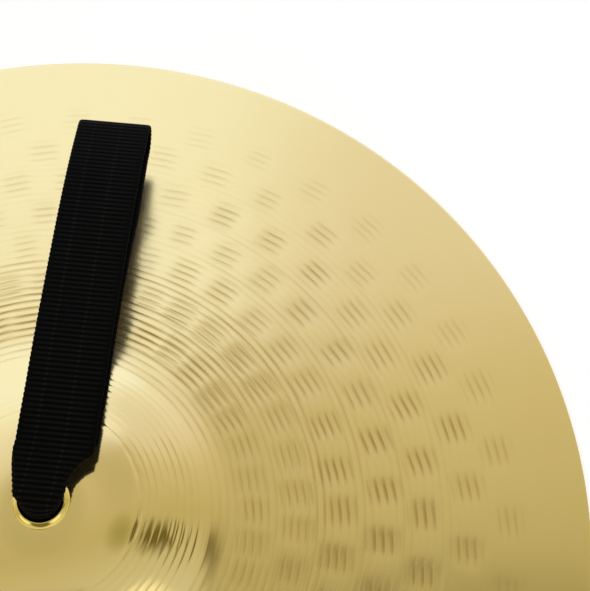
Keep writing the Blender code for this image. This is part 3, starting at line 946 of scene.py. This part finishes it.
def smoothed(values, reach):
    """Values averaged with their neighbours on both sides, as far as the reach."""
    kernel = np.hanning(2 * reach + 3)[1:-1]
    kernel /= kernel.sum()
    padded = np.pad(values, (reach, reach), mode="edge")
    return np.convolve(padded, kernel, "valid")


def strap_path():
    """The strap from deep in the grommet, out above and back below: distances along it and (out, up)."""
    upper, fold, lower = strap_legs()
    depth = NECK_BOTTOM - PIVOT_HEIGHT
    clear = 11 * MM
    way_up = bend_into_bore(depth, front=-7.25 * MM, radius=8.3 * MM, top=2.6 * MM)
    way_down = bend_into_bore(depth, front=-4.6 * MM, radius=5.6 * MM, top=-2.2 * MM)[::-1]
    path = np.concatenate([
        way_up, upper[upper[:, 0] > clear], fold, lower[lower[:, 0] > clear][::-1], way_down,
    ])
    along, places = resample(path, RIB_PITCH / 6)
    return along, np.stack([smoothed(places[:, k], 8) for k in range(2)], -1)


def distance_out(along, places, first_leg):
    """How far out each row is, going on below zero as the strip turns down into the grommet."""
    out = places[:, 0].copy()
    for leg, way_in in ((first_leg, 1), (~first_leg, -1)):
        rows = np.nonzero(leg)[0]
        start = rows[np.argmin(np.abs(places[rows, 0] - LEG_START))]
        near = rows[(rows - start) * way_in < 0]
        out[near] = LEG_START - np.abs(along[near] - along[start])
    return out


def strap_section(across, out, first_leg, lean):
    """Each row's cross-section: hemmed in the leg above, narrowed in the one below, rolled in the bore."""
    # The leaning side is +X on one cymbal and -X on the other.
    other, leaning = (np.interp(out, GATHER[:, 0], GATHER[:, k]) for k in (2, 3))
    left, right = (other, leaning) if lean > 0 else (leaning, other)
    left, right = smoothed(left, 6)[:, None], smoothed(right, 6)[:, None]
    u = np.broadcast_to(across, (len(out), len(across)))
    roll = (1 - eased(out / MM, -10, 0))[:, None]
    hem = hemmed(u, left, right)
    bore = rolled(u, 1 / UPPER_CURL)
    above = [mix(hem[k], bore[k], roll) for k in range(2)]
    narrow = u * np.interp(out / MM, LOWER_WIDTH[:, 0], LOWER_WIDTH[:, 1])[:, None]
    bore = rolled(narrow, -1 / LOWER_CURL)
    below = [mix((narrow, 0 * u)[k], bore[k], roll) for k in range(2)]
    return [np.where(first_leg[:, None], above[k], below[k]) for k in range(2)]


def add_strap(side, x, heading, lean, finish):
    """The strap from the knot up through the grommet, round its loop and back, as one strip."""
    along, places = strap_path()
    rows = len(along)
    way = unit(np.gradient(places, axis=0))
    normals = np.stack([np.zeros(rows), -way[:, 1], way[:, 0]], -1)
    sides = np.repeat([[1.0, 0.0, 0.0]], rows, 0)
    fold = along[-1] / 2
    first_leg = along < fold
    out = distance_out(along, places, first_leg)
    across = across_positions(26)
    shift = np.interp(out, GATHER[:, 0], GATHER[:, 1])
    aside = np.interp(out, LOWER_SHIFT[:, 0], LOWER_SHIFT[:, 1])
    shift += aside * smooth((along - fold + 14 * MM) / (28 * MM))
    centres = np.stack([lean * smoothed(shift, 6), places[:, 0], places[:, 1]], -1)
    made = strip(
        f"{side}_strap", to_world(centres, x, heading), turn_only(sides, heading),
        turn_only(normals, heading), across, strap_section(across, out, first_leg, lean),
        np.full(rows, WEBBING_THICKNESS), along, finish,
    )
    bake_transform(made)
    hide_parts(f"{side}_strap_neck", f"{side}_strap_loop")


# Knot and tails


def wrap_points(turns):
    """The knot's centre line, by turns round the neck. Before its first turn it comes out from the middle."""
    angles = math.radians(WRAP_START) + 2 * math.pi * turns
    held = np.maximum(turns, 0)
    heights = WRAP_TOP - WRAP_PITCH * held
    radius = WRAP_PATH_RADIUS - 5.5 * MM * smooth(-turns / 0.25)
    return np.stack([radius * np.cos(angles), radius * np.sin(angles), heights], -1)


def add_knot(side, x, heading, finish):
    """The strap's end, gathered into a pleated rope and wrapped round the neck."""
    turns = np.linspace(-0.2, WRAP_TURNS, 330)
    path = wrap_points(turns)
    way = unit(np.gradient(path, axis=0))
    out = unit(np.cross(way, np.array([0, 0, 1.0])))
    over = np.cross(out, way)
    along = np.concatenate([[0], np.cumsum(np.linalg.norm(np.diff(path, axis=0), axis=1))])
    angles = np.linspace(0, 2 * math.pi, 48, endpoint=False)
    drift = 1.2 * np.sin(along[:, None] / (9 * MM)) + 0.6 * np.sin(2 * angles)[None, :]
    pleat = 0.5 + 0.5 * np.cos(PLEATS * angles[None, :] + drift)
    wave = np.abs(np.cos(math.pi * along / RIB_PITCH))[:, None]
    radius = (WRAP_RADIUS - 0.12 * MM) - PLEAT_DEPTH * pleat**2 + 0.08 * MM * (wave - 0.5)
    points = (
        path[:, None, :] + out[:, None, :] * (radius * np.cos(angles))[..., None]
        + over[:, None, :] * (radius * np.sin(angles))[..., None]
    )
    count = len(angles)
    faces = grid_faces(len(turns), count)
    faces += [tuple(range(count)), tuple(range((len(turns) - 1) * count, len(turns) * count))[::-1]]
    # The third value, the rib height that the webbing's colour turns into painted highlight, is lowered as
    # painted shade in the pleats' hollows
    weave = np.stack([
        np.repeat((angles * WRAP_RADIUS)[None, :], len(turns), 0), np.repeat(along[:, None], count, 1),
        np.clip(wave * (1 - 0.6 * pleat), 0.1, 1),
    ], -1)
    flat = points.reshape(-1, 3)
    flat[:, 2] -= PIVOT_HEIGHT
    made = new_object(
        f"{side}_knot", to_world(flat, x, heading), faces, finish,
        [("weave", "FLOAT_VECTOR", weave.reshape(-1, 3))],
    )
    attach(made, f"{side}_strap_base")
    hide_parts(f"{side}_strap_knot")


def add_tail(side, name, controls, across, x, heading, finish):
    """One end of the strap, rolled where it leaves the knot and flat at its tip."""
    along, places = resample(bezier(controls, np.linspace(0, 1, 400)), RIB_PITCH / 6)
    way = unit(np.gradient(places, axis=0))
    sides = np.repeat([across], len(along), 0)
    normals = unit(np.cross(sides, way))
    flat = smooth(2 * along / along[-1])[:, None]
    positions = across_positions(18)
    u = np.broadcast_to(positions, (len(along), len(positions)))
    shape = rolled(u * mix(0.53, 1.0, flat), (1 - flat) ** 1.3 / TAIL_CURL)
    thickness = mix(2.6, 1.8, flat[:, 0]) * MM
    places[:, 2] -= PIVOT_HEIGHT
    made = strip(
        f"{side}_{name}", to_world(places, x, heading), turn_only(sides, heading),
        turn_only(normals, heading), positions, shape, thickness, along, finish,
    )
    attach(made, f"{side}_strap_base")
    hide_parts(f"{side}_strap_{name}")


def add_tails(side, x, heading, finish):
    end, before = wrap_points(np.array([WRAP_TURNS, WRAP_TURNS - 0.05]))
    leaving = unit(end - before)
    away = unit(leaving * np.array([1, 1, 0]))
    across = np.array([-away[1], away[0], 0])
    low = TAIL_FLOOR_CLEARANCE + WEBBING_THICKNESS
    fall = np.array([0, 0, low - end[2]])
    controls = [
        end - leaving * MM, end + leaving * TAIL_LENGTH * 0.35, end + away * TAIL_LENGTH * 0.7 + fall * 0.6,
        end + away * TAIL_LENGTH + fall,
    ]
    add_tail(side, "tail_outer", controls, across, x, heading, finish)
    foot = np.array([0, 0, NECK_BOTTOM + 1 * MM])
    drop = np.array([0, 0, low - foot[2]])
    controls = [foot, foot + drop * 0.7, foot + drop - away * 6 * MM, foot + drop - away * TAIL_LENGTH]
    add_tail(side, "tail_inner", controls, across, x, heading, finish)


# Studio


def add_floor():
    half = FLOOR_SIZE / 2
    corners = [(-half, -half, 0), (half, -half, 0), (half, half, 0), (-half, half, 0)]
    mesh = bpy.data.meshes.new("floor")
    mesh.from_pydata(corners, [], [(0, 1, 2, 3)])
    mesh.materials.append(floor_material())
    floor = bpy.data.objects.new("floor", mesh)
    floor.location.z = -FLOOR_DROP
    bpy.context.scene.collection.objects.link(floor)


def direction_share(tree, way, axis):
    """How far a direction points along an axis, from 0 to 1."""
    dot = add_node(tree, "ShaderNodeVectorMath", operation="DOT_PRODUCT")
    tree.links.new(way, dot.inputs[0])
    dot.inputs[1].default_value = axis
    return scale_node(tree, dot.outputs["Value"], 0.5, 0.5)


def add_world():
    """Soft studio light: pale behind the object, dimmer and warmer overhead, with patches of both."""
    world = bpy.data.worlds.new("studio")
    bpy.context.scene.world = world
    world.use_nodes = True
    tree = world.node_tree
    way = add_node(tree, "ShaderNodeTexCoord").outputs["Generated"]
    back = direction_share(tree, way, SKY_AXIS)
    colour = ramp_node(tree, back, SKY_STOPS)
    front = curve_node(tree, back, FRONT_BAND)
    for axis, edge, core, strength, tint, within in STUDIO_PATCHES:
        fade = [(0.0, 0.0), (edge, 0.0), (core, strength)]
        amount = curve_node(tree, direction_share(tree, way, axis), fade)
        if within:
            amount = math_node(tree, "MULTIPLY", amount, front)
        patch = add_node(tree, "ShaderNodeMix", data_type="RGBA")
        tree.links.new(amount, patch.inputs["Factor"])
        tree.links.new(colour, patch.inputs["A"])
        patch.inputs["B"].default_value = (*tint, 1)
        colour = patch.outputs["Result"]
    tree.links.new(colour, tree.nodes["Background"].inputs["Color"])
    tree.nodes["Background"].inputs["Strength"].default_value = 1.0


def add_camera():
    data = bpy.data.cameras.new("camera")
    data.sensor_width = 36.0
    data.lens = CAMERA_LENS
    data.shift_y = CAMERA_SHIFT
    data.clip_start = 0.01
    camera = bpy.data.objects.new("camera", data)
    camera.location = CAMERA_PLACE
    camera.rotation_euler = [math.radians(a) for a in CAMERA_DEGREES]
    bpy.context.scene.collection.objects.link(camera)
    bpy.context.scene.camera = camera


def main():
    bpy.context.scene.view_settings.view_transform = "Standard"
    add_camera()
    add_world()
    add_floor()
    bronze, brass, black = bronze_material(), brass_material(), webbing_material()
    for cymbal in CYMBALS:
        side, x, heading = cymbal["side"], cymbal["x"], cymbal["heading"]
        add_plate(side, x, cymbal["seed"], bronze)
        add_grommet(side, x, brass)
        add_strap(side, x, heading, cymbal["lean"], black)
        add_knot(side, x, heading, black)
        add_tails(side, x, heading, black)


main()
